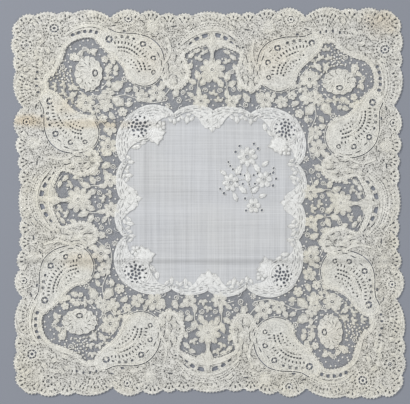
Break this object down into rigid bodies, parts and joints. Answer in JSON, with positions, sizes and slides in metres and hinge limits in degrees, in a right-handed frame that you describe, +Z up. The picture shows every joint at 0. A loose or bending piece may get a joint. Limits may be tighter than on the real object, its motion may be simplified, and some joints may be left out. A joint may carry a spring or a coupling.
{
  "type": "lace handkerchief",
  "caption": "Square lace handkerchief lying flat: scalloped net and needle lace border with paisleys and flowers round a sheer linen centre with a whitework frame.",
  "frame": {"origin": "under the middle of the cloth as it lies, on the surface that it lies on", "axes": "+Z up out of the best side, +Y towards the far edge, +X to the right seen from above"},
  "size_m": [0.4086, 0.4056, 0.0024],
  "materials": {
    "lace": "matte",
    "linen": "matte"
  },
  "bodies": {
    "root": {"lace_border": "lace", "linen_centre": "linen"}
  },
  "joints": []
}
